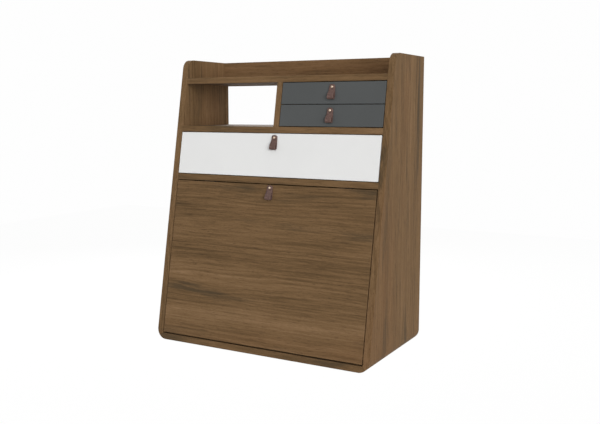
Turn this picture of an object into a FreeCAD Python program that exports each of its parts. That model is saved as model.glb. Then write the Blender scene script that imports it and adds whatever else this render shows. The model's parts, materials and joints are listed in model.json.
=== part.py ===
import FreeCAD, Part
import os
import re
from collections import namedtuple

import Sketcher

# Fold down wall desk: a walnut carcass for a wall, with a flap, an open niche and three drawers.
# Frame: X to the right, Y into the wall, Z up, in millimetres. The wall is the plane Y = 0, and the
# origin is the middle of the four wall fixing holes. Heights in the sizes start at the underside.

Vector = FreeCAD.Vector

SIZES = {
    # Carcass: overall size, thickness of its boards, and roundings.
    "width": 720,
    "height": 860,
    "depth_bottom": 377,
    "depth_top": 215,
    "side_thickness": 20,
    "board_thickness": 18,
    "back_thickness": 16,
    "bottom_corner_radius": 33,
    "top_corner_radius": 32,
    # From the top down: the gallery, the bay of the small drawers and the bay of the large drawer.
    "gallery_height": 57,
    "small_bay_height": 129.5,
    "large_bay_height": 129.5,
    # Lip that the back panel leaves beside and above the niche.
    "niche_lip": 2,
    # Wall fixing holes through the back panel, set in from the boards round the flap's compartment.
    "fixing_side_margin": 60,
    "fixing_low_margin": 52,
    "fixing_high_margin": 40,
    "fixing_hole_radius": 3.5,
    # Loose tongues that join the boards of the carcass.
    "tongue_length": 120,
    "tongue_thickness": 6,
    "tongue_bite": 10,
    # Clearances that many pieces share.
    "seat_clearance": 0.05,
    "running_clearance": 0.05,
    "stop_gap": 0.3,
    # Flap, with its pivot pins and the bushes that they turn in.
    "flap_thickness": 18,
    "flap_side_gap": 2.7,
    "flap_top_gap": 2.5,
    "pivot_edge": 22,
    "swing_clearance": 0.6,
    "pivot_radius": 4,
    "pivot_grip": 25,
    "bush_radius": 6,
    "bush_depth": 12,
    "bush_flange_radius": 8,
    "bush_flange_play": 0.5,
    # Magnetic catches under the lower shelf, and their strike plates on the flap.
    "catch_side_margin": 110,
    "catch_length": 40,
    "catch_drop": 18,
    "catch_depth": 24,
    "strike_thickness": 2,
    "strike_height": 14,
    "strike_inset": 3,
    # Stays: a rod on the flap runs through a swivelling guide on the side panel.
    "stay_tilt": 29,
    "stay_pin_height": 12,
    "rod_end_room": 32,
    "stay_inset": 12,
    "stay_pin_radius": 2.5,
    "rod_radius": 3,
    "rod_eye_radius": 6,
    "rod_tail": 2,
    "nut_flats": 10,
    "nut_length": 8,
    "guide_half_width": 6.5,
    "guide_length": 18,
    "guide_clearance": 0.2,
    "guide_end_play": 0.2,
    "swivel_radius": 4,
    "stay_base_thickness": 4,
    "stay_base_width": 24,
    "stay_base_length": 56,
    "stay_base_chamfer": 5,
    "shoe_base": 3,
    "shoe_length": 34,
    "shoe_width": 16,
    "shoe_ear_radius": 6,
    "shoe_ear": 3,
    "pin_head": 0.6,
    # Drawers: a sloping front, a box behind it, and runner strips in grooves of its sides.
    "drawer_gap": 2,
    "drawer_front_thickness": 18,
    "drawer_side_thickness": 12,
    "drawer_back_thickness": 12,
    "drawer_bottom_thickness": 6,
    "drawer_bottom_tongue": 5,
    "drawer_bottom_lift": 6,
    "drawer_groove_room": 0.1,
    "drawer_lift": 6,
    "drawer_side_room": 2.5,
    "drawer_back_room": 12,
    "large_box_height": 92,
    "small_box_height": 44,
    "runner_tip_gap": 0.5,
    "runner_height": 12,
    "runner_play": 0.3,
    "runner_groove_depth": 5.5,
    "runner_groove_lead": 12,
    "large_runner_length": 62,
    "large_runner_rise": 52,
    "small_runner_length": 58,
    "small_runner_rise": 26,
    "stop_block_length": 10,
    "stop_block_inset": 12,
    # Pulls: a folded leather strap under one screw.
    "strap_width": 19.5,
    "strap_thickness": 2,
    "strap_head": 8,
    "strap_end_radius": 7,
    "strap_drop": 30,
    "strap_loop_radius": 6,
    "strap_join": 5,
    "flap_pull_drop": 9.5,
    "large_pull_drop": 12.5,
    "lower_pull_drop": 17,
    "upper_pull_drop": 14.5,
    "pull_head_radius": 3.5,
    "pull_head_height": 2.2,
    "pull_shank_radius": 1.75,
    "pull_screw_depth": 13,
}

# Positions that follow from the sizes, as formulas.
INSIDE = "(width/2 - side_thickness)"
SLOPE = "((depth_bottom - depth_top)/height)"
LEAN = f"atan({SLOPE})"
BACK = "-back_thickness"
TOP_SHELF = "(height - gallery_height - board_thickness)"
MIDDLE_SHELF = f"({TOP_SHELF} - small_bay_height - board_thickness)"
LOWER_SHELF = f"({MIDDLE_SHELF} - large_bay_height - board_thickness)"
FIXING_LOW = "(board_thickness + fixing_low_margin)"
FIXING_HIGH = f"({LOWER_SHELF} - fixing_high_margin)"
ORIGIN_HEIGHT = f"(({FIXING_LOW} + {FIXING_HIGH})/2)"


def front(level, behind="0"):
    """Y of the sloping front at a height, or of a plane a given distance behind it."""
    return f"({SLOPE}*({level}) - depth_bottom + ({behind})/cos({LEAN}))"


# The front corner of the flap's foot swings past the bottom panel with a small clearance, and the gap
# under the closed flap follows from that.
FLAP_HALF = "(flap_thickness/2)"
FOOT_REACH = f"sqrt(pivot_edge^2 + {FLAP_HALF}^2)"
FOOT_DROP = f"(pivot_edge*cos({LEAN}) - {FLAP_HALF}*sin({LEAN}))"
FLAP_FOOT = f"(board_thickness + swing_clearance + {FOOT_REACH} - {FOOT_DROP})"
FLAP_END = f"({INSIDE} - flap_side_gap)"
FLAP_LENGTH = f"(({LOWER_SHELF} - flap_top_gap - {FLAP_FOOT})/cos({LEAN}))"
HINGE_Y = f"({front(FLAP_FOOT)} + pivot_edge*sin({LEAN}) + {FLAP_HALF}*cos({LEAN}))"
HINGE_Z = f"({FLAP_FOOT} + {FOOT_DROP})"

# The shoe's pin and the guide's swivel lie on one circle about the hinge, so that the rod between
# them always turns by half of the flap's angle. With the flap closed the rod leans back by its tilt
# and ends in front of the back panel, and the shoe's reach along the flap follows from that.
PIN_RISE = f"({FLAP_HALF} + stay_pin_height)"
ROD_TILT = "(stay_tilt*1deg)"
ROD_END = "(guide_length/2 + stop_gap + nut_length + rod_tail)"
SPREAD = f"({ROD_TILT} + 45deg - {LEAN}/2)"
ROOM = f"({BACK} - rod_end_room - {HINGE_Y} - {ROD_END}*cos({ROD_TILT}))"
RISE_SHARE = f"{PIN_RISE}*(cos({LEAN}) - 2*cos({ROD_TILT})*cos({SPREAD}))"
STAY_REACH = f"(({ROOM} - {RISE_SHARE})/(sin({LEAN}) + 2*cos({ROD_TILT})*sin({SPREAD})))"
STAY_RADIUS = f"sqrt({STAY_REACH}^2 + {PIN_RISE}^2)"
SHOE_ANGLE = f"({LEAN} + atan({PIN_RISE}/{STAY_REACH}))"
GUIDE_ANGLE = f"(2*{ROD_TILT} - {SHOE_ANGLE})"
OPEN_CHORD = f"(2*{STAY_RADIUS}*sin({SPREAD} + {LEAN} - {SHOE_ANGLE}))"
ROD_X = f"({INSIDE} - stay_inset)"
SHOE_Y = f"({HINGE_Y} + {STAY_RADIUS}*sin({SHOE_ANGLE}))"
SHOE_Z = f"({HINGE_Z} + {STAY_RADIUS}*cos({SHOE_ANGLE}))"
GUIDE_Y = f"({HINGE_Y} + {STAY_RADIUS}*sin({GUIDE_ANGLE}))"
GUIDE_Z = f"({HINGE_Z} + {STAY_RADIUS}*cos({GUIDE_ANGLE}))"

SIDES = {"left": -1, "right": 1}

# An arc from one corner of an outline to the next: turn is 1 anticlockwise and -1 clockwise.
Arc = namedtuple("Arc", "centre_u centre_v turn")
Circle = namedtuple("Circle", "u v radius")

doc = FreeCAD.newDocument("WallDesk")
sheet = doc.addObject("Spreadsheet::Sheet", "Sizes")
for row, (alias, number) in enumerate(SIZES.items(), start=1):
    sheet.set(f"A{row}", alias)
    sheet.set(f"B{row}", str(number))
    sheet.setAlias(f"B{row}", alias)
doc.recompute()

nodes = {}


def formula(text):
    """Expression in which each size's name points at its cell."""
    return re.sub(r"[a-z_]+", lambda word: "Sizes." + word[0] if word[0] in SIZES else word[0], text)


def value(text):
    """Number that a formula gives with the sizes as they are."""
    result = sheet.evalExpression(formula(text))
    return float(getattr(result, "Value", result))


# Building blocks: bodies, sketches and features whose sizes follow the sheet. A sketch numbers a
# curve's points 1 for its start, 2 for its end and 3 for its centre, and its own axes -1 and -2.

def place(piece, x="0", y="0", z="0", tilt=None):
    """Put a piece at a point, its Z counted from the underside, tilted back by an angle."""
    if tilt is not None:
        piece.Placement = FreeCAD.Placement(Vector(), FreeCAD.Rotation(Vector(-1, 0, 0), 1))
        piece.setExpression("Placement.Rotation.Angle", formula(tilt))
    piece.setExpression("Placement.Base.x", formula(x))
    piece.setExpression("Placement.Base.y", formula(y))
    piece.setExpression("Placement.Base.z", formula(f"{z} - {ORIGIN_HEIGHT}"))
    return piece


def new_body(name, **where):
    body = doc.addObject("PartDesign::Body", name)
    return place(body, **where)


def draw_outline(sketch, corners):
    """Closed outline of lines and arcs, with each corner held to its formulas."""
    points = [Vector(value(corner[0]), value(corner[1]), 0) for corner in corners]
    edges = []
    for index, corner in enumerate(corners):
        start = points[index]
        end = points[(index + 1) % len(corners)]
        if len(corner) == 2:
            edges.append((sketch.addGeometry(Part.LineSegment(start, end), False), 1, 2))
            continue
        arc = corner[2]
        centre = Vector(value(arc.centre_u), value(arc.centre_v), 0)
        circle = Part.Circle(centre, Vector(0, 0, 1), centre.distanceToPoint(start))
        first, last = (start, end) if arc.turn > 0 else (end, start)
        curve = Part.ArcOfCircle(circle, circle.parameter(first), circle.parameter(last))
        edge = sketch.addGeometry(curve, False)
        edges.append((edge, 1, 2) if arc.turn > 0 else (edge, 2, 1))
        chord = end - start
        if abs(chord.x) > abs(chord.y):
            hold_point(sketch, edge, 3, v=arc.centre_v)
        else:
            hold_point(sketch, edge, 3, u=arc.centre_u)
    for index, (edge, start, end) in enumerate(edges):
        following, joint, _ = edges[(index + 1) % len(edges)]
        sketch.addConstraint(Sketcher.Constraint("Coincident", edge, end, following, joint))
        hold_point(sketch, edge, start, corners[index][0], corners[index][1])


def draw_circle(sketch, circle):
    centre = Vector(value(circle.u), value(circle.v), 0)
    edge = sketch.addGeometry(Part.Circle(centre, Vector(0, 0, 1), value(circle.radius)), False)
    hold(sketch, Sketcher.Constraint("Radius", edge, value(circle.radius)), circle.radius)
    hold_point(sketch, edge, 3, circle.u, circle.v)


def hold(sketch, constraint, text):
    index = sketch.addConstraint(constraint)
    sketch.setExpression(f"Constraints[{index}]", formula(text))


def hold_point(sketch, edge, point, u=None, v=None):
    """Dimension a point from the sketch's origin, or set it on an axis where its distance is 0."""
    for kind, text, axis in (("DistanceX", u, -2), ("DistanceY", v, -1)):
        if text == "0":
            sketch.addConstraint(Sketcher.Constraint("PointOnObject", edge, point, axis))
        elif text is not None:
            hold(sketch, Sketcher.Constraint(kind, -1, 1, edge, point, value(text)), text)


def sketch_on(body, plane, loops, offset="0"):
    """Sketch of closed loops on an origin plane of a body, moved along the plane's normal."""
    sketch = body.newObject("Sketcher::SketchObject", f"{body.Name}_sketch")
    support = next(item for item in body.Origin.OriginFeatures if item.Role == plane)
    sketch.AttachmentSupport = [(support, "")]
    sketch.MapMode = "FlatFace"
    sketch.setExpression("AttachmentOffset.Base.z", formula(offset))
    for loop in loops:
        if isinstance(loop, Circle):
            draw_circle(sketch, loop)
        else:
            draw_outline(sketch, loop)
    return sketch


def pad(body, sketch, length, symmetric=False, reverse=False):
    feature = body.newObject("PartDesign::Pad", f"{body.Name}_pad")
    feature.Profile = sketch
    feature.Midplane = symmetric
    feature.Reversed = reverse
    feature.setExpression("Length", formula(length))
    return body


def pocket(body, sketch, depth=None):
    """Cut a sketch to a depth on both sides of its plane, or right through."""
    feature = body.newObject("PartDesign::Pocket", f"{body.Name}_pocket")
    feature.Profile = sketch
    feature.Midplane = True
    if depth is None:
        feature.Type = "ThroughAll"
    else:
        feature.setExpression("Length", formula(f"2*({depth})"))
    return body


def turn(body, sketch, axis):
    feature = body.newObject("PartDesign::Revolution", f"{body.Name}_turned")
    feature.Profile = sketch
    feature.ReferenceAxis = (sketch, [axis])
    feature.Angle = 360
    return body


def rectangle(u_low, v_low, u_high, v_high):
    return [(u_low, v_low), (u_high, v_low), (u_high, v_high), (u_low, v_high)]


def sloping(low, high, rear, behind="0"):
    """Side outline of a board between two heights whose front edge follows the sloping front."""
    return [(rear, low), (rear, high), (front(high, behind), high), (front(low, behind), low)]


def board(name, outline, start, length, **where):
    """Board with an outline in the YZ plane, running along X."""
    body = new_body(name, **where)
    return pad(body, sketch_on(body, "YZ_Plane", [outline], start), length)


def bar(name, section, start, length, **where):
    """Round bar along X."""
    body = new_body(name, **where)
    return pad(body, sketch_on(body, "YZ_Plane", [section], start), length)


def drilled(name, base, *tools):
    """Piece with the bores that a list of tools leaves in it."""
    for index, tool in enumerate(tools):
        cut = doc.addObject("Part::Cut", f"{name}_cut_{index}")
        cut.Base = base
        cut.Tool = tool
        base = cut
    return base


def node(name, piece):
    piece.Label = name
    nodes[name] = piece


def group(name, pieces):
    compound = doc.addObject("Part::Compound", name)
    compound.Links = pieces
    return compound


def pair(name, make):
    """Left and right pieces as one node."""
    node(name, group(name, [make(f"{name}_{word}", side) for word, side in SIDES.items()]))


def tongue(name, middle, along, across, room="0"):
    """Block over a joint face: its length lies along one axis and its bite along another."""
    spans = {axis: "tongue_thickness" for axis in "xyz"}
    spans[along] = "tongue_length"
    spans[across] = "2*tongue_bite"
    low = {}
    block = doc.addObject("Part::Box", name)
    for axis, edge, centre in zip("xyz", ("Length", "Width", "Height"), middle):
        span = f"({spans[axis]} + 2*{room})"
        block.setExpression(edge, formula(span))
        low[axis] = f"{centre} - {span}/2"
    return place(block, **low)


def tongue_set(name, stations):
    """Loose tongues over joint faces, and the slots that they need."""
    tongues = [tongue(f"{name}_{index}", *station) for index, station in enumerate(stations)]
    slots = [
        tongue(f"{name}_slot_{index}", *station, room="seat_clearance")
        for index, station in enumerate(stations)
    ]
    return group(name, tongues), group(f"{name}_slots", slots)


# Carcass boards.

def corner_cut(side):
    """Waste outside the rounded lower corner, seen from the front."""
    inner = f"{side}*(width/2 - bottom_corner_radius)"
    rounding = Arc(inner, "bottom_corner_radius", -side)
    return [(inner, "0"), (f"{side}*width/2", "0"), (f"{side}*width/2", "bottom_corner_radius", rounding)]


def side_panel(name, side):
    start = INSIDE if side > 0 else "-width/2"
    run = f"top_corner_radius*tan((90deg - {LEAN})/2)"
    rounding = Arc(f"{run} - depth_top", "height - top_corner_radius", 1)
    outline = [
        ("0", "0"),
        ("0", "height"),
        (f"{run} - depth_top", "height", rounding),
        (f"-depth_top - {run}*sin({LEAN})", f"height - {run}*cos({LEAN})"),
        ("-depth_bottom", "0"),
    ]
    mitre = [(f"{side}*{INSIDE}", "board_thickness"), (f"{side}*width/2", "0"), (f"{side}*{INSIDE}", "0")]
    bush_seat = Circle(HINGE_Y, HINGE_Z, "bush_radius + seat_clearance")
    panel = board(name, outline, start, "side_thickness")
    pocket(panel, sketch_on(panel, "XZ_Plane", [mitre]))
    pocket(panel, sketch_on(panel, "XZ_Plane", [corner_cut(side)]))
    seat = sketch_on(panel, "YZ_Plane", [bush_seat], f"{side}*{INSIDE}")
    return pocket(panel, seat, "bush_depth + seat_clearance")


def bottom_panel(name):
    panel = board(name, sloping("0", "board_thickness", "0"), "-width/2", "width")
    for side in SIDES.values():
        edge = f"{side}*width/2"
        mitre = [(edge, "0"), (edge, "board_thickness"), (f"{side}*{INSIDE}", "board_thickness")]
        pocket(panel, sketch_on(panel, "XZ_Plane", [mitre]))
        pocket(panel, sketch_on(panel, "XZ_Plane", [corner_cut(side)]))
    return panel


def back_panel(name):
    """Back with the niche cut out of it and four holes for the wall fixings."""
    outer = rectangle(f"-{INSIDE}", "board_thickness", INSIDE, "height")
    niche = rectangle(
        f"niche_lip - {INSIDE}",
        f"{MIDDLE_SHELF} + board_thickness",
        "-board_thickness/2 - niche_lip",
        f"{TOP_SHELF} - niche_lip",
    )
    holes = [
        Circle(f"{side}*({INSIDE} - fixing_side_margin)", level, "fixing_hole_radius")
        for side in SIDES.values()
        for level in (FIXING_LOW, FIXING_HIGH)
    ]
    panel = new_body(name)
    return pad(panel, sketch_on(panel, "XZ_Plane", [outer, niche] + holes), "back_thickness")


def shelf(name, level):
    outline = sloping(level, f"{level} + board_thickness", BACK)
    return board(name, outline, f"-{INSIDE}", f"2*{INSIDE}")


def niche_divider(name):
    outline = sloping(f"{MIDDLE_SHELF} + board_thickness", TOP_SHELF, BACK)
    return board(name, outline, "-board_thickness/2", "board_thickness")


def carcass_tongue_stations():
    """Middle of each tongue, the axis along it and the axis across its joint."""
    stations = []
    bays = (
        f"(board_thickness + {LOWER_SHELF})/2",
        f"({LOWER_SHELF} + board_thickness + {MIDDLE_SHELF})/2",
    )
    for side in SIDES.values():
        for level in (LOWER_SHELF, MIDDLE_SHELF, TOP_SHELF):
            middle = f"{level} + board_thickness/2"
            depth = f"({front(middle)} + {BACK})/2"
            stations.append(((f"{side}*{INSIDE}", depth, middle), "y", "x"))
        for middle in bays:
            stations.append(((f"{side}*{INSIDE}", f"{BACK}/2", middle), "z", "x"))
        stations.append(((f"{side}*{INSIDE}/2", f"{BACK}/2", "board_thickness"), "x", "z"))
    for level in (f"({MIDDLE_SHELF} + board_thickness)", TOP_SHELF):
        stations.append((("0", f"({front(level)} + {BACK})/2", level), "y", "z"))
    return stations


# Flap and what turns and holds it. Its own frame has the hinge axis as X and Z up along the flap.

CATCH_X = f"({INSIDE} - catch_side_margin)"


def pivot_bush(name, side):
    """Flanged bush in a side panel: the flange keeps the flap off the panel."""
    bore = "pivot_radius + running_clearance"
    inner = f"{side}*({INSIDE} - flap_side_gap + bush_flange_play)"
    face = f"{side}*{INSIDE}"
    end = f"{side}*({INSIDE} + bush_depth)"
    outline = [
        (inner, bore),
        (inner, "bush_flange_radius"),
        (face, "bush_flange_radius"),
        (face, "bush_radius"),
        (end, "bush_radius"),
        (end, bore),
    ]
    bush = new_body(name, y=HINGE_Y, z=HINGE_Z)
    return turn(bush, sketch_on(bush, "XY_Plane", [outline]), "H_Axis")


def magnetic_catch(name, side):
    """Catch under the lower shelf with its face parallel to the flap."""
    behind = "flap_thickness + strike_thickness + stop_gap"
    rear = f"{front(LOWER_SHELF, behind)} + catch_depth"
    outline = sloping(f"{LOWER_SHELF} - catch_drop", LOWER_SHELF, rear, behind)
    return board(name, outline, f"{side}*{CATCH_X} - catch_length/2", "catch_length")


def flap_panel(name):
    """Flap with a level foot and square at its top."""
    foot = "-pivot_edge"
    top = f"{FLAP_LENGTH} - pivot_edge"
    outline = [
        (f"-{FLAP_HALF}", foot),
        (FLAP_HALF, f"{foot} + flap_thickness*tan({LEAN})"),
        (FLAP_HALF, top),
        (f"-{FLAP_HALF}", top),
    ]
    panel = board(name, outline, f"-{FLAP_END}", f"2*{FLAP_END}", y=HINGE_Y, z=HINGE_Z, tilt=LEAN)
    for side in SIDES.values():
        bore = Circle("0", "0", "pivot_radius + seat_clearance")
        seat = sketch_on(panel, "YZ_Plane", [bore], f"{side}*{FLAP_END}")
        pocket(panel, seat, "pivot_grip + seat_clearance")
    return panel


def flap_pivot(name, side):
    length = "(pivot_grip + flap_side_gap + bush_depth)"
    inner = f"({FLAP_END} - pivot_grip)"
    start = inner if side > 0 else f"-{inner} - {length}"
    section = Circle("0", "0", "pivot_radius")
    return bar(name, section, start, length, y=HINGE_Y, z=HINGE_Z, tilt=LEAN)


def strike_plate(name, side):
    top = f"{FLAP_LENGTH} - pivot_edge - strike_inset"
    outline = rectangle(FLAP_HALF, f"{top} - strike_height", f"{FLAP_HALF} + strike_thickness", top)
    start = f"{side}*{CATCH_X} - catch_length/2"
    return board(name, outline, start, "catch_length", y=HINGE_Y, z=HINGE_Z, tilt=LEAN)


def stay_shoe(name, side):
    """Clevis on the flap's inner face: a foot for two screws and two ears round the rod's eye."""
    foot_top = f"{FLAP_HALF} + shoe_base"
    low = f"{STAY_REACH} - shoe_length/2"
    high = f"{STAY_REACH} + shoe_length/2"
    foot = rectangle(FLAP_HALF, low, foot_top, high)
    crown = Arc(PIN_RISE, STAY_REACH, 1)
    ears = [
        (FLAP_HALF, f"{STAY_REACH} - shoe_ear_radius"),
        (PIN_RISE, f"{STAY_REACH} - shoe_ear_radius", crown),
        (PIN_RISE, f"{STAY_REACH} + shoe_ear_radius"),
        (FLAP_HALF, f"{STAY_REACH} + shoe_ear_radius"),
    ]
    slot_top = f"{PIN_RISE} + shoe_length/2"
    slot = rectangle(foot_top, low, slot_top, high)
    slot_half = "rod_radius + guide_clearance"
    bore = Circle(PIN_RISE, STAY_REACH, "stay_pin_radius + seat_clearance")
    shoe = new_body(name, x=f"{side}*{ROD_X}", y=HINGE_Y, z=HINGE_Z, tilt=LEAN)
    pad(shoe, sketch_on(shoe, "YZ_Plane", [foot]), "shoe_width", symmetric=True)
    pad(shoe, sketch_on(shoe, "YZ_Plane", [ears]), f"2*({slot_half} + shoe_ear)", symmetric=True)
    pocket(shoe, sketch_on(shoe, "YZ_Plane", [slot]), slot_half)
    return pocket(shoe, sketch_on(shoe, "YZ_Plane", [bore]))


def stay_pin(name, side):
    length = "2*(rod_radius + guide_clearance + shoe_ear + pin_head)"
    section = Circle(PIN_RISE, STAY_REACH, "stay_pin_radius")
    where = {"x": f"{side}*{ROD_X}", "y": HINGE_Y, "z": HINGE_Z, "tilt": LEAN}
    return bar(name, section, f"-{length}/2", length, **where)


# Stays. A rod's own frame starts at the shoe's pin and has Y along the rod.

NUT_START = f"({OPEN_CHORD} + guide_length/2 + stop_gap)"


def stay_rod(name, side):
    """Rod with an eye at the shoe, long enough to carry the stop nut with the flap level."""
    rod = new_body(name, x=f"{side}*{ROD_X}", y=SHOE_Y, z=SHOE_Z, tilt=ROD_TILT)
    shaft = sketch_on(rod, "XZ_Plane", [Circle("0", "0", "rod_radius")])
    pad(rod, shaft, f"{NUT_START} + nut_length + rod_tail", reverse=True)
    eye = sketch_on(rod, "YZ_Plane", [Circle("0", "0", "rod_eye_radius")])
    pad(rod, eye, "2*rod_radius", symmetric=True)
    bore = Circle("0", "0", "stay_pin_radius + running_clearance")
    return pocket(rod, sketch_on(rod, "YZ_Plane", [bore]))


def stay_nut(name, side):
    """Hexagonal stop nut that meets the guide when the flap is level."""
    edge = "(nut_flats/2/sqrt(3))"
    flat = "nut_flats/2"
    outline = [
        (f"2*{edge}", "0"),
        (edge, flat),
        (f"-{edge}", flat),
        (f"-2*{edge}", "0"),
        (f"-{edge}", f"-{flat}"),
        (edge, f"-{flat}"),
    ]
    bore = Circle("0", "0", "rod_radius + seat_clearance")
    nut = new_body(name, x=f"{side}*{ROD_X}", y=SHOE_Y, z=SHOE_Z, tilt=ROD_TILT)
    section = sketch_on(nut, "XZ_Plane", [outline, bore], f"-{NUT_START}")
    return pad(nut, section, "nut_length", reverse=True)


def stay_guide(name, side):
    """Block bored for the rod, with a swivel pin that turns in the base plate."""
    width = "(guide_half_width + stay_inset - stay_base_thickness - guide_end_play)"
    start = "-guide_half_width" if side > 0 else f"guide_half_width - {width}"
    pin_start = "0" if side > 0 else "guide_end_play - stay_inset"
    block = rectangle("-guide_length/2", "-guide_half_width", "guide_length/2", "guide_half_width")
    swivel = Circle("0", "0", "swivel_radius")
    bore = Circle("0", "0", "rod_radius + guide_clearance")
    guide = new_body(name, x=f"{side}*{ROD_X}", y=GUIDE_Y, z=GUIDE_Z, tilt=ROD_TILT)
    pad(guide, sketch_on(guide, "YZ_Plane", [block], start), width)
    pad(guide, sketch_on(guide, "YZ_Plane", [swivel], pin_start), "stay_inset - guide_end_play")
    return pocket(guide, sketch_on(guide, "XZ_Plane", [bore]))


def stay_base(name, side):
    """Plate on the side panel with chamfered corners and a bearing hole for the guide's swivel pin."""
    half_width = "stay_base_width/2"
    half_length = "stay_base_length/2"
    corner_width = "(stay_base_width/2 - stay_base_chamfer)"
    corner_length = "(stay_base_length/2 - stay_base_chamfer)"
    outline = [
        (half_width, f"-{corner_length}"),
        (half_width, corner_length),
        (corner_width, half_length),
        (f"-{corner_width}", half_length),
        (f"-{half_width}", corner_length),
        (f"-{half_width}", f"-{corner_length}"),
        (f"-{corner_width}", f"-{half_length}"),
        (corner_width, f"-{half_length}"),
    ]
    bearing = Circle("0", "0", "swivel_radius + running_clearance")
    base = new_body(name, x=f"{side}*{INSIDE}", y=GUIDE_Y, z=GUIDE_Z)
    start = "-stay_base_thickness" if side > 0 else "0"
    return pad(base, sketch_on(base, "YZ_Plane", [outline, bearing], start), "stay_base_thickness")


# Leather pulls. A pull's own frame is at its screw on the front, with Z up along the front.

def leather_pull(name, where):
    """Strap folded into a loop: both ends lie under the screw and the fold stands off the front."""
    doubled = "2*strap_thickness"
    reach = "(strap_loop_radius - 2*strap_thickness)"
    fall = "(strap_drop - strap_join)"
    flare = f"(acos(-strap_loop_radius/sqrt({reach}^2 + {fall}^2)) - atan({fall}/{reach}))"
    inner_radius = "(strap_loop_radius - strap_thickness)"
    apex_run = f"(strap_loop_radius + {inner_radius}*cos({flare}) - strap_thickness)/tan({flare})"
    fold = Arc("-strap_loop_radius", "-strap_drop", -1)

    def tangent(radius):
        return (f"-strap_loop_radius - {radius}*cos({flare})", f"{radius}*sin({flare}) - strap_drop")

    outer = [
        ("0", "strap_head"),
        ("0", "-strap_drop", fold),
        tangent("strap_loop_radius"),
        (f"-{doubled}", "-strap_join"),
        (f"-{doubled}", "strap_head"),
    ]
    hollow = [
        ("-strap_thickness", f"{inner_radius}*sin({flare}) - strap_drop + {apex_run}"),
        ("-strap_thickness", "-strap_drop", fold),
        tangent(inner_radius),
    ]
    pull = new_body(name, **where)
    pad(pull, sketch_on(pull, "YZ_Plane", [outer, hollow]), "strap_width", symmetric=True)
    for side in SIDES.values():
        edge = f"{side}*strap_width/2"
        inner = f"{side}*(strap_width/2 - strap_end_radius)"
        shoulder = "strap_head - strap_end_radius"
        rounding = Arc(inner, shoulder, side)
        waste = [(inner, "strap_head"), (edge, "strap_head"), (edge, shoulder, rounding)]
        pocket(pull, sketch_on(pull, "XZ_Plane", [waste]), f"{doubled} + seat_clearance")
    bore = Circle("0", "0", "pull_shank_radius + seat_clearance")
    return pocket(pull, sketch_on(pull, "XZ_Plane", [bore]))


def pull_screw(name, where):
    """Screw with a low round head on the strap."""
    seat = "-2*strap_thickness"
    outline = [
        ("0", f"{seat} - pull_head_height"),
        ("pull_head_radius", f"{seat} - pull_head_height"),
        ("pull_head_radius", seat),
        ("pull_shank_radius", seat),
        ("pull_shank_radius", "pull_screw_depth"),
        ("0", "pull_screw_depth"),
    ]
    screw = new_body(name, **where)
    return turn(screw, sketch_on(screw, "XY_Plane", [outline]), "V_Axis")


def pull_pilot(name, where):
    """Hole for a pull's screw in the front that carries it."""
    pilot = new_body(name, **where)
    hole = sketch_on(pilot, "XZ_Plane", [Circle("0", "0", "pull_shank_radius + seat_clearance")])
    return pad(pilot, hole, "2*(pull_screw_depth + seat_clearance)", symmetric=True)


def add_pull(owner, x, level):
    """Pull and screw nodes on a front, and the hole that the front needs."""
    where = {"x": x, "y": front(level), "z": f"({level})", "tilt": LEAN}
    node(f"{owner}_pull", leather_pull(f"{owner}_pull", where))
    node(f"{owner}_pull_screw", pull_screw(f"{owner}_pull_screw", where))
    return pull_pilot(f"{owner}_pull_pilot", where)


# Drawers.

Drawer = namedtuple("Drawer", "name left right floor ceiling box_height rise runner pull_drop")
DRAWER_BACK = f"({BACK} - drawer_back_room)"


def runner_level(drawer):
    return f"({drawer.floor} + drawer_lift + {drawer.rise})"


def groove_front(drawer):
    """Closed front end of the runner groove, which stops the drawer when it is shut."""
    return f"({front(runner_level(drawer), 'drawer_front_thickness')} + runner_groove_lead)"


def runner_front(drawer):
    return f"({groove_front(drawer)} + stop_gap)"


def drawer_front(drawer):
    low = f"{drawer.floor} + drawer_gap"
    high = f"{drawer.ceiling} - drawer_gap"
    inner = "drawer_front_thickness"
    outline = [
        (front(low), low),
        (front(high), high),
        (front(high, inner), high),
        (front(low, inner), low),
    ]
    length = f"{drawer.right} - {drawer.left} - 2*drawer_gap"
    return board(f"{drawer.name}_front", outline, f"{drawer.left} + drawer_gap", length)


def drawer_side(drawer, word, side):
    """Side with a groove outside for the runner and one inside for the bottom."""
    low = f"{drawer.floor} + drawer_lift"
    high = f"{low} + {drawer.box_height}"
    level = runner_level(drawer)
    half = "(runner_height/2 + runner_play)"
    if side < 0:
        start = f"{drawer.left} + drawer_side_room"
        outer, inner = start, f"{start} + drawer_side_thickness"
    else:
        start = f"{drawer.right} - drawer_side_room - drawer_side_thickness"
        outer, inner = f"{start} + drawer_side_thickness", start
    outline = sloping(low, high, DRAWER_BACK, "drawer_front_thickness")
    groove = rectangle(groove_front(drawer), f"{level} - {half}", "0", f"{level} + {half}")
    bottom_low = f"{low} + drawer_bottom_lift - drawer_groove_room"
    bottom_high = f"{low} + drawer_bottom_lift + drawer_bottom_thickness + drawer_groove_room"
    bottom_groove = rectangle("-depth_bottom", bottom_low, "0", bottom_high)
    panel = board(f"{drawer.name}_side_{word}", outline, start, "drawer_side_thickness")
    pocket(panel, sketch_on(panel, "YZ_Plane", [groove], outer), "runner_groove_depth")
    inside = sketch_on(panel, "YZ_Plane", [bottom_groove], inner)
    return pocket(panel, inside, "drawer_bottom_tongue + drawer_groove_room")


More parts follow.
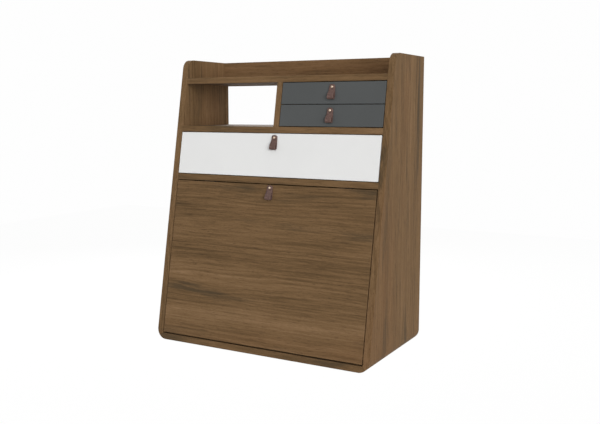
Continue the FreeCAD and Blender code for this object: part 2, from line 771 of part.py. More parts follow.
def drawer_back(drawer):
    foot = "drawer_lift + drawer_bottom_lift + drawer_bottom_thickness"
    wall = "(drawer_side_room + drawer_side_thickness)"
    height = f"{drawer.box_height} - drawer_bottom_lift - drawer_bottom_thickness"
    panel = doc.addObject("Part::Box", f"{drawer.name}_back")
    panel.setExpression("Length", formula(f"{drawer.right} - {drawer.left} - 2*{wall}"))
    panel.setExpression("Width", formula("drawer_back_thickness"))
    panel.setExpression("Height", formula(height))
    x = f"{drawer.left} + {wall}"
    return place(panel, x=x, y=f"{DRAWER_BACK} - drawer_back_thickness", z=f"{drawer.floor} + {foot}")


def drawer_bottom(drawer):
    low = f"{drawer.floor} + drawer_lift + drawer_bottom_lift"
    high = f"{low} + drawer_bottom_thickness"
    wall = "(drawer_side_room + drawer_side_thickness - drawer_bottom_tongue)"
    outline = sloping(low, high, DRAWER_BACK, "drawer_front_thickness")
    length = f"{drawer.right} - {drawer.left} - 2*{wall}"
    return board(f"{drawer.name}_bottom", outline, f"{drawer.left} + {wall}", length)


def stop_block(drawer, word, side):
    """Block in the rear of the runner groove that stops the drawer when it is pulled out."""
    level = runner_level(drawer)
    half = "(runner_height/2 + runner_play)"
    rear = f"({DRAWER_BACK} - stop_block_inset)"
    outline = rectangle(f"{rear} - stop_block_length", f"{level} - {half}", rear, f"{level} + {half}")
    if side < 0:
        start = f"{drawer.left} + drawer_side_room"
    else:
        start = f"{drawer.right} - drawer_side_room - runner_groove_depth"
    return board(f"{drawer.name}_stop_{word}", outline, start, "runner_groove_depth")


def runner_strip(drawer, word, side):
    level = runner_level(drawer)
    rear = f"{runner_front(drawer)} + {drawer.runner}"
    low, high = f"{level} - runner_height/2", f"{level} + runner_height/2"
    outline = rectangle(runner_front(drawer), low, rear, high)
    width = "(drawer_side_room + runner_groove_depth - runner_tip_gap)"
    start = drawer.left if side < 0 else f"{drawer.right} - {width}"
    return board(f"{drawer.name}_runner_{word}", outline, start, width)


LARGE_FLOOR = f"({LOWER_SHELF} + board_thickness)"
SMALL_FLOOR = f"({MIDDLE_SHELF} + board_thickness)"
SMALL_MIDDLE = f"(({SMALL_FLOOR} + {TOP_SHELF})/2)"
SMALL_LEFT = "(board_thickness/2)"

DRAWERS = [
    Drawer("large_drawer", f"-{INSIDE}", INSIDE, LARGE_FLOOR, MIDDLE_SHELF,
           "large_box_height", "large_runner_rise", "large_runner_length", "large_pull_drop"),
    Drawer("lower_drawer", SMALL_LEFT, INSIDE, SMALL_FLOOR, f"({SMALL_MIDDLE} + drawer_gap/2)",
           "small_box_height", "small_runner_rise", "small_runner_length", "lower_pull_drop"),
    Drawer("upper_drawer", SMALL_LEFT, INSIDE, f"({SMALL_MIDDLE} - drawer_gap/2)", TOP_SHELF,
           "small_box_height", "small_runner_rise", "small_runner_length", "upper_pull_drop"),
]


# Assembly: bodies first, then the fasteners and the bores that they leave.

side_panels = {word: side_panel(f"side_panel_{word}_board", side) for word, side in SIDES.items()}
bottom = bottom_panel("bottom_panel_board")
back = back_panel("back_panel_board")
levels = {"lower": LOWER_SHELF, "middle": MIDDLE_SHELF, "top": TOP_SHELF}
shelves = {word: shelf(f"{word}_shelf_board", level) for word, level in levels.items()}
divider = niche_divider("niche_divider_board")

tongues, slots = tongue_set("carcass_tongues", carcass_tongue_stations())
for word in SIDES:
    name = f"side_panel_{word}"
    node(name, drilled(name, side_panels[word], slots))
node("bottom_panel", drilled("bottom_panel", bottom, slots))
node("back_panel", drilled("back_panel", back, slots))
for word, panel in shelves.items():
    name = f"{word}_shelf"
    node(name, drilled(name, panel, slots))
node("niche_divider", drilled("niche_divider", divider, slots))
node("carcass_tongues", tongues)
pair("pivot_bushes", pivot_bush)
pair("magnetic_catches", magnetic_catch)
for drawer in DRAWERS:
    runners = [runner_strip(drawer, word, side) for word, side in SIDES.items()]
    node(f"{drawer.name}_runners", group(f"{drawer.name}_runners", runners))

flap = flap_panel("flap_panel_board")
flap_pilot = add_pull("flap", "0", f"{LOWER_SHELF} - flap_top_gap - flap_pull_drop")
node("flap_panel", drilled("flap_panel", flap, flap_pilot))
pair("flap_pivots", flap_pivot)
pair("strike_plates", strike_plate)
pair("stay_pins", stay_pin)
for word, side in SIDES.items():
    node(f"stay_base_{word}", stay_base(f"stay_base_{word}", side))
    node(f"stay_shoe_{word}", stay_shoe(f"stay_shoe_{word}", side))
    node(f"stay_rod_{word}", stay_rod(f"stay_rod_{word}", side))
    node(f"stay_nut_{word}", stay_nut(f"stay_nut_{word}", side))
    node(f"stay_guide_{word}", stay_guide(f"stay_guide_{word}", side))

for drawer in DRAWERS:
    name = drawer.name
    middle = f"({drawer.left} + {drawer.right})/2"
    pilot = add_pull(name, middle, f"{drawer.ceiling} - drawer_gap - {drawer.pull_drop}")
    node(f"{name}_front", drilled(f"{name}_front", drawer_front(drawer), pilot))
    for word, side in SIDES.items():
        node(f"{name}_side_{word}", drawer_side(drawer, word, side))
    node(f"{name}_back", drawer_back(drawer))
    node(f"{name}_bottom", drawer_bottom(drawer))
    blocks = [stop_block(drawer, word, side) for word, side in SIDES.items()]
    node(f"{name}_stop_blocks", group(f"{name}_stop_blocks", blocks))

doc.recompute()

# Check every object and every piece, then write one file per piece.

failed = [item.Name for item in doc.Objects if {"Invalid", "Error"} & set(item.State)]
if failed:
    raise SystemExit(f"objects that failed: {failed}")
for name, piece in nodes.items():
    if piece.Shape.isNull() or not piece.Shape.isValid():
        raise SystemExit(f"{name} has no valid shape")

os.makedirs("parts", exist_ok=True)
for name, piece in nodes.items():
    piece.Shape.exportStep(f"parts/{name}.step")
print(f"{len(nodes)} pieces written")
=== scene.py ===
import json
import math

import bmesh
import bpy
from mathutils import Matrix, Vector
from mathutils.geometry import interpolate_bezier, tessellate_polygon

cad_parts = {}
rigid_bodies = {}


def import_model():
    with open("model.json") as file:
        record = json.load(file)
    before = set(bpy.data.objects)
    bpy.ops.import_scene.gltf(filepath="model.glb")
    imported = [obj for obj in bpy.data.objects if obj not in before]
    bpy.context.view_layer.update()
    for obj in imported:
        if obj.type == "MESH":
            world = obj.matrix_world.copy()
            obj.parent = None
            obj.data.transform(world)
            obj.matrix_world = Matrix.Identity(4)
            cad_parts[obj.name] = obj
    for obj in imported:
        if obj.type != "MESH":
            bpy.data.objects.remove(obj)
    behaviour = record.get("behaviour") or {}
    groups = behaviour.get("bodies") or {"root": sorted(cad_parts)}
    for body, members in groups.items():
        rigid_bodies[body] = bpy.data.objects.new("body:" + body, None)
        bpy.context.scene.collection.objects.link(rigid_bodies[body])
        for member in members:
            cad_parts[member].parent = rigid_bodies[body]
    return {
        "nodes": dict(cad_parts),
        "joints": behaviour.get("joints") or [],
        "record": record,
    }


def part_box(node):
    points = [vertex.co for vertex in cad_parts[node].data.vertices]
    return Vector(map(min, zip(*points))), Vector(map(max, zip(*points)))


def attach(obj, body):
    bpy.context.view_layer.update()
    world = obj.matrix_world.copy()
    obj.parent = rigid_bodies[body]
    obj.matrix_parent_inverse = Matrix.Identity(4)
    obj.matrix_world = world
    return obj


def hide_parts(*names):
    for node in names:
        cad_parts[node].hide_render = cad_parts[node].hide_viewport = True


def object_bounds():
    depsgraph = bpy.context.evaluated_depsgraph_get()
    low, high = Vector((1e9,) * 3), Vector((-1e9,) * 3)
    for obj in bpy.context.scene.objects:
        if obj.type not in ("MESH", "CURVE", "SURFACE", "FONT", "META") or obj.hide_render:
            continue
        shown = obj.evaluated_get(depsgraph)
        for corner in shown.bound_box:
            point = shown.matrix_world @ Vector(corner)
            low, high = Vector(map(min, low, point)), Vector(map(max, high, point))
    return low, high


# Looks of the fold down wall desk: walnut veneer, lacquered drawer fronts, leather pulls, brass and steel.
# Lengths are in metres, in the frame of the solids: X to the right, Y into the wall, Z up.

# The scene starts empty, and the solids come from the frame.
for leftover in list(bpy.data.objects):
    bpy.data.objects.remove(leftover)
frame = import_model()
cad_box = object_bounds()
nodes = frame["nodes"]
scene = bpy.context.scene
MM = 0.001


# Shader helpers.

# A Mix node has sockets for each kind of value under the same names, so they are picked by number.
MIX_FACTOR = 0
MIX_FIRST_NUMBER = 2
MIX_SECOND_NUMBER = 3
MIX_FIRST_COLOUR = 6
MIX_SECOND_COLOUR = 7
MIXED_NUMBER = 0
MIXED_COLOUR = 2

# Share of short rays into a piece that hit nothing: under a flat face and along an edge.
FLAT_OPENNESS = 0.95
EDGE_OPENNESS = 0.55
EDGE_RAYS = 8


def srgb(red, green, blue):
    """Linear colour of an sRGB colour that is written from 0 to 255."""
    def linear(value):
        share = value / 255
        return share / 12.92 if share <= 0.04045 else ((share + 0.055) / 1.055) ** 2.4
    return (linear(red), linear(green), linear(blue), 1.0)


class Nodes:
    """Short way to add nodes to one node tree."""

    def __init__(self, tree):
        self.tree = tree

    def put(self, socket, value):
        if isinstance(value, bpy.types.NodeSocket):
            self.tree.links.new(value, socket)
        else:
            socket.default_value = value

    def add(self, kind, inputs=None, **settings):
        node = self.tree.nodes.new("ShaderNode" + kind)
        for key, value in settings.items():
            setattr(node, key, value)
        for key, value in (inputs or {}).items():
            self.put(node.inputs[key], value)
        return node

    def math(self, operation, *values):
        return self.add("Math", dict(enumerate(values)), operation=operation).outputs[0]

    def times(self, first, second):
        return self.math("MULTIPLY", first, second)

    def weigh(self, *shares):
        """Sum of values, each times its share."""
        total = 0.0
        for value, share in shares:
            total = self.math("MULTIPLY_ADD", value, share, total)
        return total


class Shader(Nodes):
    """One material, with the textures and masks that the looks are made of."""

    def __init__(self, name):
        self.material = bpy.data.materials.new(name)
        self.material.use_nodes = True
        super().__init__(self.material.node_tree)
        self.surface = self.tree.nodes["Principled BSDF"]

    def position(self, offset=(0, 0, 0), scale=(1, 1, 1)):
        """Place on the piece at rest, stretched and then shifted."""
        coordinates = self.add("TexCoord").outputs["Object"]
        inputs = {"Vector": coordinates, "Location": offset, "Scale": scale}
        return self.add("Mapping", inputs).outputs["Vector"]

    def noise(self, vector, scale=1.0, detail=2.0, roughness=0.5):
        inputs = {"Vector": vector, "Scale": scale, "Detail": detail, "Roughness": roughness}
        return self.add("TexNoise", inputs).outputs["Fac"]

    def noise_along(self, value, detail, roughness):
        """Noise that changes only with one value."""
        inputs = {"W": value, "Scale": 1.0, "Detail": detail, "Roughness": roughness}
        return self.add("TexNoise", inputs, noise_dimensions="1D").outputs["Fac"]

    def reach(self, vector, direction):
        """How far a place lies along a direction."""
        return self.add("VectorMath", {0: vector, 1: direction}, operation="DOT_PRODUCT").outputs["Value"]

    def fade(self, value, start, end, first=0.0, last=1.0):
        """Smooth change from the first number, at the value's start, to the last one, at its end."""
        inputs = {
            "Value": value,
            "From Min": start,
            "From Max": end,
            "To Min": first,
            "To Max": last,
        }
        return self.add("MapRange", inputs, interpolation_type="SMOOTHSTEP").outputs["Result"]

    def mix(self, factor, first, second):
        inputs = {MIX_FACTOR: factor, MIX_FIRST_COLOUR: first, MIX_SECOND_COLOUR: second}
        return self.add("Mix", inputs, data_type="RGBA").outputs[MIXED_COLOUR]

    def ramp(self, factor, stops):
        node = self.add("ValToRGB", {"Fac": factor})
        elements = node.color_ramp.elements
        while len(elements) < len(stops):
            elements.new(1.0)
        for element, (place, colour) in zip(elements, stops):
            element.position = place
            element.color = colour
        return node.outputs["Color"]

    def edges(self, reach):
        """Mask of the strip along each outer edge, as wide as the reach."""
        inputs = {"Distance": reach}
        openness = self.add("AmbientOcclusion", inputs, samples=EDGE_RAYS, inside=True, only_local=True)
        return self.fade(openness.outputs["AO"], FLAT_OPENNESS, EDGE_OPENNESS)

    def bump(self, height, strength, distance):
        inputs = {"Height": height, "Strength": strength, "Distance": distance}
        self.put(self.surface.inputs["Normal"], self.add("Bump", inputs).outputs["Normal"])

    def finish(self, colour, roughness, specular=0.5, metallic=0.0):
        self.put(self.surface.inputs["Base Color"], colour)
        self.put(self.surface.inputs["Roughness"], roughness)
        self.put(self.surface.inputs["Specular IOR Level"], specular)
        self.put(self.surface.inputs["Metallic"], metallic)
        return self.material


def along(axis, run, across):
    """Scale that stretches a texture along one axis: counts per metre along it and across it."""
    return tuple(run if letter == axis else across for letter in "XYZ")


def even(count):
    """Scale with the same counts per metre along every axis."""
    return (count, count, count)


def shifted(shift, shares):
    """Offset that gives each piece its own part of a texture."""
    return tuple(shift * share for share in shares)


# Walnut.

WALNUT_TONES = [
    (0.255, srgb(58, 42, 25)),
    (0.39, srgb(88, 67, 42)),
    (0.5, srgb(114, 88, 59)),
    (0.61, srgb(131, 103, 73)),
    (0.765, srgb(153, 125, 95)),
]
WALNUT_RED = srgb(116, 76, 46)
WALNUT_OLIVE = srgb(70, 58, 41)
WALNUT_RUBBED = srgb(140, 111, 80)
WALNUT_PORE = srgb(46, 31, 19)
WALNUT_SHIFT = (1.7, 3.1, 2.3)
WALNUT_RUBBED_STRIP = 1.2 * MM

# Growth lines per metre across the grain, and by how many of them the figured wood swings them aside.
GROWTH_LINES = 120
GROWTH_SWING = 3.6


def walnut(name, axis, shift):
    """Oiled walnut veneer with its grain along one axis.

    Broad bands, growth lines and fibres make the grain. Warm patches, dark spindles, flecks and open
    pores lie over it, and the edges are rubbed paler.
    """
    shader = Shader(name)
    offset = shifted(shift, WALNUT_SHIFT)

    def layer(run, across, **settings):
        return shader.noise(shader.position(offset, along(axis, run, across)), **settings)

    def growth_lines():
        """Lines along the grain that a slow field swings aside where the wood is figured."""
        across = shader.reach(shader.position(offset), along(axis, run=0, across=GROWTH_LINES))
        figure = layer(run=1.3, across=7, detail=1.0)
        width = shader.fade(figure, start=0.42, end=0.62, last=GROWTH_SWING)
        swing = shader.times(layer(run=5, across=20, detail=1.0), width)
        return shader.noise_along(shader.math("ADD", across, swing), detail=3.0, roughness=0.75)

    bands = layer(run=0.9, across=12, detail=3.0, roughness=0.6)
    fibres = layer(run=8, across=140, detail=4.0, roughness=0.8)
    grain = shader.weigh((bands, 0.4), (growth_lines(), 0.24), (fibres, 0.36))
    tone = shader.ramp(grain, WALNUT_TONES)
    warm = shader.fade(layer(run=1.1, across=8, detail=2.0), start=0.45, end=0.7, last=0.2)
    tone = shader.mix(warm, tone, WALNUT_RED)
    spindles = shader.fade(layer(run=3, across=20, detail=2.0), start=0.55, end=0.7, last=0.75)
    dark = shader.times(spindles, shader.fade(grain, start=0.58, end=0.43))
    tone = shader.mix(dark, tone, WALNUT_OLIVE)
    flecks = shader.fade(layer(run=34, across=520, detail=2.0), start=0.57, end=0.76, last=0.5)
    tone = shader.mix(flecks, tone, WALNUT_PORE)
    pores = shader.fade(layer(run=110, across=1700, detail=1.0), start=0.58, end=0.7)
    tone = shader.mix(shader.times(pores, 0.35), tone, WALNUT_PORE)
    rubbing = shader.fade(layer(run=18, across=60, detail=3.0), start=0.4, end=0.65, last=0.4)
    tone = shader.mix(shader.times(shader.edges(WALNUT_RUBBED_STRIP), rubbing), tone, WALNUT_RUBBED)

    shader.bump(shader.weigh((grain, 0.6), (pores, -1.0)), strength=0.25, distance=0.4 * MM)
    gloss = shader.fade(grain, start=0.35, end=0.65, first=0.66, last=0.8)
    return shader.finish(tone, gloss, specular=0.16)


# Lacquer of the drawer fronts.

WHITE = {"colour": srgb(231, 231, 230), "shade": srgb(226, 226, 225), "worn": srgb(206, 203, 197)}
GREY = {"colour": srgb(82, 84, 84), "shade": srgb(77, 79, 79), "worn": srgb(112, 113, 111)}
LACQUER_SHIFT = (1, 2, 3)
LACQUER_RUBBED_STRIP = 0.9 * MM


def lacquer(name, shift, colour, shade, worn):
    """Matt lacquer: a faint cloudy tone, orange peel, rubbed specks and edges, and uneven gloss."""
    shader = Shader(name)
    offset = shifted(shift, LACQUER_SHIFT)
    clouds = shader.noise(shader.position(offset, even(6)), detail=3.0)
    peel = shader.noise(shader.position(offset, even(900)), detail=2.0)
    specks = shader.noise(shader.position(offset, even(260)), detail=4.0, roughness=0.7)
    tone = shader.mix(shader.fade(clouds, start=0.3, end=0.7, last=0.6), colour, shade)
    tone = shader.mix(shader.fade(specks, start=0.68, end=0.8, last=0.35), tone, shade)
    rubbing = shader.fade(specks, start=0.42, end=0.62, last=0.45)
    tone = shader.mix(shader.times(shader.edges(LACQUER_RUBBED_STRIP), rubbing), tone, worn)
    shader.bump(peel, strength=0.12, distance=0.2 * MM)
    gloss = shader.fade(clouds, start=0.3, end=0.7, first=0.42, last=0.54)
    return shader.finish(tone, gloss, specular=0.15)


# Birch of the drawer boxes.

BIRCH_TONES = [(0.3, srgb(186, 152, 108)), (0.7, srgb(212, 183, 140))]
BIRCH_FLECK = srgb(150, 112, 74)
BIRCH_SHIFT = (1, 1.3, 0.7)


def birch(name, axis, shift):
    """Sanded birch: faint streaks and short flecks along one axis."""
    shader = Shader(name)
    offset = shifted(shift, BIRCH_SHIFT)
    streaks = shader.noise(shader.position(offset, along(axis, 2.5, 30)), detail=5.0, roughness=0.65)
    flecks = shader.noise(shader.position(offset, along(axis, 70, 900)), detail=2.0)
    tone = shader.ramp(streaks, BIRCH_TONES)
    tone = shader.mix(shader.fade(flecks, start=0.6, end=0.75, last=0.5), tone, BIRCH_FLECK)
    shader.bump(flecks, strength=0.15, distance=0.3 * MM)
    gloss = shader.fade(streaks, start=0.3, end=0.7, first=0.52, last=0.68)
    return shader.finish(tone, gloss, specular=0.3)


# Leather of the pulls.

LEATHER_TONES = [(0.3, srgb(78, 57, 52)), (0.52, srgb(101, 77, 70)), (0.75, srgb(122, 98, 91))]
# Dark tone of the creases, also used as painted shade in the hollows between the pebbles.
LEATHER_CREASE_AND_SHADE = srgb(62, 43, 40)
LEATHER_CREASES = (140, 500, 500)


def leather(name):
    """Tanned leather with a pebbled grain, patches and darker creases, and painted shade in the hollows
    between the pebbles.
    """
    shader = Shader(name)
    place = shader.position()
    cells = shader.add("TexVoronoi", {"Vector": place, "Scale": 1500.0}, feature="DISTANCE_TO_EDGE")
    pebbles = shader.fade(cells.outputs["Distance"], start=0.0, end=0.25)
    patches = shader.noise(place, scale=160.0, detail=4.0, roughness=0.6)
    creases = shader.noise(shader.position(scale=LEATHER_CREASES), detail=3.0)
    tone = shader.ramp(patches, LEATHER_TONES)
    tone = shader.mix(shader.fade(creases, start=0.58, end=0.75, last=0.5), tone, LEATHER_CREASE_AND_SHADE)
    # Painted shade: the hollows between the pebbles, lowest in the bump, are darkened.
    tone = shader.mix(shader.fade(pebbles, start=0.5, end=0.0, last=0.35), tone, LEATHER_CREASE_AND_SHADE)
    shader.bump(shader.math("ADD", pebbles, creases), strength=0.35, distance=0.3 * MM)
    gloss = shader.fade(patches, start=0.3, end=0.7, first=0.5, last=0.66)
    return shader.finish(tone, gloss, specular=0.3)


# Metals and the moulded case of the catches.

METAL_STAINS = 60
METAL_DULLING = 0.16
EVEN_BRUSH = even(900)
LONG_BRUSH = (300, 300, 2200)
CASE_DARK = srgb(38, 35, 33)
CASE_RUBBED = srgb(58, 54, 51)


def metal(name, colour, dark, roughness, brush):
    """Satin metal: fine brush lines, and tarnish in patches that are duller."""
    shader = Shader(name)
    lines = shader.noise(shader.position(scale=brush), detail=3.0)
    stains = shader.noise(shader.position(scale=even(METAL_STAINS)), detail=4.0, roughness=0.6)
    tone = shader.mix(shader.fade(stains, start=0.45, end=0.75, last=0.6), colour, dark)
    tone = shader.mix(shader.fade(lines, start=0.55, end=0.8, last=0.35), tone, dark)
    shader.bump(lines, strength=0.12, distance=0.1 * MM)
    gloss = shader.fade(stains, start=0.3, end=0.7, first=roughness, last=roughness + METAL_DULLING)
    return shader.finish(tone, gloss, metallic=1.0)


def moulded(name):
    """Dark moulded case: fine sparkle texture and rubbed patches."""
    shader = Shader(name)
    sparkle = shader.noise(shader.position(scale=even(1400)), detail=2.0)
    rubbed = shader.noise(shader.position(scale=even(70)), detail=4.0)
    tone = shader.mix(shader.fade(rubbed, start=0.4, end=0.7), CASE_DARK, CASE_RUBBED)
    shader.bump(sparkle, strength=0.3, distance=0.2 * MM)
    gloss = shader.fade(rubbed, start=0.3, end=0.7, first=0.45, last=0.62)
    return shader.finish(tone, gloss, specular=0.4)


# Materials of the solids.

BIRCH_X = birch("birch_x", "X", 0.3)
BIRCH_Y = birch("birch_y", "Y", 1.1)
LEATHER = leather("tanned_leather")
BRASS = metal("satin_brass", srgb(214, 193, 172), srgb(172, 148, 124), 0.28, EVEN_BRUSH)
BRONZE = metal("aged_bronze", srgb(96, 74, 50), srgb(58, 44, 30), 0.42, EVEN_BRUSH)
STEEL = metal("satin_nickel", srgb(188, 186, 182), srgb(140, 138, 134), 0.3, LONG_BRUSH)

OWN_MATERIALS = {
    "side_panel_left": walnut("walnut_side_left", "Z", 0.91),
    "side_panel_right": walnut("walnut_side_right", "Z", 4.49),
    "bottom_panel": walnut("walnut_bottom", "X", 2.63),
    "back_panel": walnut("walnut_back", "X", 3.47),
    "lower_shelf": walnut("walnut_lower_shelf", "X", 4.21),
    "middle_shelf": walnut("walnut_middle_shelf", "X", 5.83),
    "top_shelf": walnut("walnut_top_shelf", "X", 6.29),
    "niche_divider": walnut("walnut_divider", "Z", 7.11),
    "flap_panel": walnut("walnut_flap", "X", 15.83),
    "large_drawer_front": lacquer("white_lacquer", 0.4, **WHITE),
    "lower_drawer_front": lacquer("grey_lacquer_lower", 1.3, **GREY),
    "upper_drawer_front": lacquer("grey_lacquer_upper", 2.2, **GREY),
    "magnetic_catches": moulded("catch_case"),
    "carcass_tongues": BIRCH_X,
    "pivot_bushes": BRONZE,
}
MATERIAL_BY_ENDING = {
    "_drawer_back": BIRCH_X,
    "_drawer_bottom": BIRCH_X,
    "_drawer_side_left": BIRCH_Y,
    "_drawer_side_right": BIRCH_Y,
    "_stop_blocks": BIRCH_Y,
    "_runners": BIRCH_Y,
    "_pull": LEATHER,
    "_pull_screw": BRASS,
}


def material_for(name):
    """Material of a solid: its own, the one of its kind, or steel."""
    if name in OWN_MATERIALS:
        return OWN_MATERIALS[name]
    for ending, material in MATERIAL_BY_ENDING.items():
        if name.endswith(ending):
            return material
    return STEEL


# Solids: each gets its material and eased edges.

EDGE_ANGLE = math.radians(38)
FLAT_ANGLE = math.radians(0.5)
WELD_REACH = 0.005 * MM
BOARD_EASE = 0.5 * MM
SMALL_EASE = 0.25 * MM
EASE_SEGMENTS = 2
BOARD_SLOTS = {"walnut", "white_lacquer", "grey_lacquer"}
slot_of = {part["node"]: part["material_slot"] for part in frame["record"]["subparts"]}


def add_bevel(piece, name, width):
    """Rounding along the sharp edges."""
    bevel = piece.modifiers.new(name, "BEVEL")
    bevel.width = width
    bevel.segments = EASE_SEGMENTS
    bevel.limit_method = "ANGLE"
    bevel.angle_limit = EDGE_ANGLE
    return bevel


def shade_evenly(piece):
    """Shading that leaves the large faces flat."""
    piece.modifiers.new("shade", "WEIGHTED_NORMAL").keep_sharp = False


def ease_edges(piece, width):
    """Small rounding along the sharp edges, after the mesh's triangles are joined into flat faces."""
    piece.modifiers.new("weld", "WELD").merge_threshold = WELD_REACH
    faces = piece.modifiers.new("faces", "DECIMATE")
    faces.decimate_type = "DISSOLVE"
    faces.angle_limit = FLAT_ANGLE
    bevel = add_bevel(piece, "ease", width)
    bevel.use_clamp_overlap = False
    bevel.loop_slide = False
    shade_evenly(piece)


for name, solid in nodes.items():
    solid.data.materials.clear()
    solid.data.materials.append(material_for(name))
    ease_edges(solid, BOARD_EASE if slot_of[name] in BOARD_SLOTS else SMALL_EASE)


# Places of the new pieces, on a front that slopes back from the bottom's depth to the top's.

UNDERSIDE = cad_box[0][2]
HEIGHT = cad_box[1][2] - UNDERSIDE
DEPTH_BOTTOM = cad_box[1][1] - cad_box[0][1]
DEPTH_TOP = 215 * MM
SLOPE = (DEPTH_BOTTOM - DEPTH_TOP) / HEIGHT
LEAN = math.atan(SLOPE)
LEANING = Matrix.Rotation(-LEAN, 4, "X")


def middle(name):
    """Middle of a solid's box."""
    low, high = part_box(name)
    return (Vector(low) + Vector(high)) / 2


def new_object(name, data):
    """Object that stands in the scene."""
    item = bpy.data.objects.new(name, data)
    scene.collection.objects.link(item)
    return item


def new_piece(name, mesh, material, body, place):
    """Piece with one material that rides a body."""
    piece = new_object(name, mesh)
    mesh.materials.append(material)
    for polygon in mesh.polygons:
        polygon.use_smooth = True
    piece.matrix_world = place
    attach(piece, body)
    return piece


def mesh_from(builder, name):
    """Mesh data from a bmesh, with its faces turned outward."""
    bmesh.ops.recalc_face_normals(builder, faces=builder.faces)
    data = bpy.data.meshes.new(name)
    builder.to_mesh(data)
    builder.free()
    return data


def turns(count):
    """Angles of evenly spaced places round a circle."""
    return [2 * math.pi * step / count for step in range(count)]


# Leather straps of the pulls, each folded into a loop.

STRAP_WIDTH = 19.5 * MM
STRAP_HEAD_WIDTH = 17.5 * MM
STRAP_THICKNESS = 1.9 * MM
STRAP_LAYER = 2 * MM
STRAP_END_RADIUS = 7 * MM
STRAP_EASE = 0.45 * MM
STRAP_STEP = 1.1 * MM
STRAP_COLUMNS = 12

# The head reaches up from the screw. The drop to the fold and the join of the layers lie below it.
STRAP_HEAD = 8 * MM
STRAP_DROP = 30 * MM
STRAP_JOIN = 7 * MM
STRAP_BELLY = 10 * MM
LOOP_RADIUS = 6 * MM
LOOP_STEPS = 24


def pull_place(owner):
    """Frame at a pull's screw on the sloping front, with Z up along the front.

    It is found from the top of the solid pull.
    """
    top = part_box(f"{owner}_pull")[1][2]
    x = middle(f"{owner}_pull").x
    z = top - STRAP_HEAD * math.cos(LEAN) - 2 * STRAP_LAYER * math.sin(LEAN)
    y = SLOPE * (z - UNDERSIDE) - DEPTH_BOTTOM
    return Matrix.Translation((x, y, z)) @ LEANING


def evenly_spaced(corners):
    """Points along a line, about one step apart on its long stretches."""
    points = [corners[0]]
    for start, end in zip(corners, corners[1:]):
        pieces = max(1, round((end - start).length / STRAP_STEP))
        points += [start.lerp(end, step / pieces) for step in range(1, pieces + 1)]
    return points


def strap_line():
    """Middle line of a folded strap: down the front, round the fold and back up in an S."""
    radius = LOOP_RADIUS - STRAP_LAYER / 2
    inner = -STRAP_LAYER / 2
    outer = -1.5 * STRAP_LAYER
    centre = Vector((-LOOP_RADIUS, -STRAP_DROP))
    belly = centre + Vector((-radius, 0))
    join = Vector((outer, -STRAP_JOIN))
    corners = [Vector((inner, STRAP_HEAD)), Vector((inner, -STRAP_DROP))]
    for step in range(1, LOOP_STEPS + 1):
        angle = -math.pi * step / LOOP_STEPS
        corners.append(centre + radius * Vector((math.cos(angle), math.sin(angle))))
    rise = Vector((0, STRAP_BELLY))
    corners += interpolate_bezier(belly, belly + rise, join - rise, join, LOOP_STEPS)[1:]
    corners.append(Vector((outer, STRAP_HEAD)))
    return evenly_spaced(corners)


def strap_half_width(level):
    """Half the strap's width: a little narrower round the screw than at the fold."""
    share = min(1.0, max(0.0, -level / (STRAP_DROP / 2)))
    return (STRAP_HEAD_WIDTH + (STRAP_WIDTH - STRAP_HEAD_WIDTH) * share) / 2


def strap_mesh(name):
    """Ribbon along the strap's line, with rounded ends."""
    line = strap_line()
    lengths = [0.0]
    for start, end in zip(line, line[1:]):
        lengths.append(lengths[-1] + (end - start).length)
    builder = bmesh.new()
    rows = []
    for point, length in zip(line, lengths):
        rest = min(length, lengths[-1] - length)
        short = max(0.0, STRAP_END_RADIUS - rest)
        rounding = STRAP_END_RADIUS - math.sqrt(STRAP_END_RADIUS ** 2 - short ** 2)
        half = strap_half_width(point.y) - rounding
        row = []
        for column in range(STRAP_COLUMNS + 1):
            across = 2 * column / STRAP_COLUMNS - 1
            row.append(builder.verts.new((across * half, point.x, point.y)))
        rows.append(row)
    for low, high in zip(rows, rows[1:]):
        for column in range(STRAP_COLUMNS):
            builder.faces.new((low[column], low[column + 1], high[column + 1], high[column]))
    return mesh_from(builder, name)


def add_strap(owner, place):
    """Strap of one pull, in place of the solid one."""
    name = f"{owner}_strap"
    strap = new_piece(name, strap_mesh(name), LEATHER, owner, place)
    thickness = strap.modifiers.new("thickness", "SOLIDIFY")
    thickness.thickness = STRAP_THICKNESS
    thickness.offset = 0
    add_bevel(strap, "edge", STRAP_EASE)
    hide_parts(f"{owner}_pull")


# Domed screws of the pulls.

STUD_RADIUS = 3.5 * MM
STUD_HEIGHT = 2.2 * MM
STUD_SHANK_RADIUS = 1.75 * MM
STUD_SHANK_LENGTH = 17 * MM
STUD_FOOT_RADIUS = 0.97 * STUD_RADIUS
STUD_RIM_HEIGHT = 0.25 * STUD_HEIGHT
STUD_DOME_STEPS = 8
STUD_SEGMENTS = 32


def stud_profile():
    """Radius and height from the shank's end, over the rolled rim and up the dome to its top."""
    profile = [
        (0, -STUD_SHANK_LENGTH),
        (STUD_SHANK_RADIUS, -STUD_SHANK_LENGTH),
        (STUD_SHANK_RADIUS, 0),
        (STUD_FOOT_RADIUS, 0),
        (STUD_RADIUS, STUD_RIM_HEIGHT),
    ]
    dome = STUD_HEIGHT - STUD_RIM_HEIGHT
    for step in range(1, STUD_DOME_STEPS):
        angle = math.pi / 2 * step / STUD_DOME_STEPS
        profile.append((STUD_RADIUS * math.cos(angle), STUD_RIM_HEIGHT + dome * math.sin(angle)))
    return profile + [(0, STUD_HEIGHT)]


def turned_mesh(name, profile):
    """Solid of revolution about Y from points of radius and height along -Y."""
    builder = bmesh.new()
    rings = []
    for radius, height in profile:
        ring = []
        for angle in turns(STUD_SEGMENTS if radius else 1):
            ring.append(builder.verts.new((radius * math.cos(angle), -height, radius * math.sin(angle))))
        rings.append(ring)
    for first, second in zip(rings, rings[1:]):
        for step in range(STUD_SEGMENTS):
            following = (step + 1) % STUD_SEGMENTS
            corners = [
                first[step % len(first)],
                first[following % len(first)],
                second[following % len(second)],
                second[step % len(second)],
            ]
            builder.faces.new(list(dict.fromkeys(corners)))
    return mesh_from(builder, name)


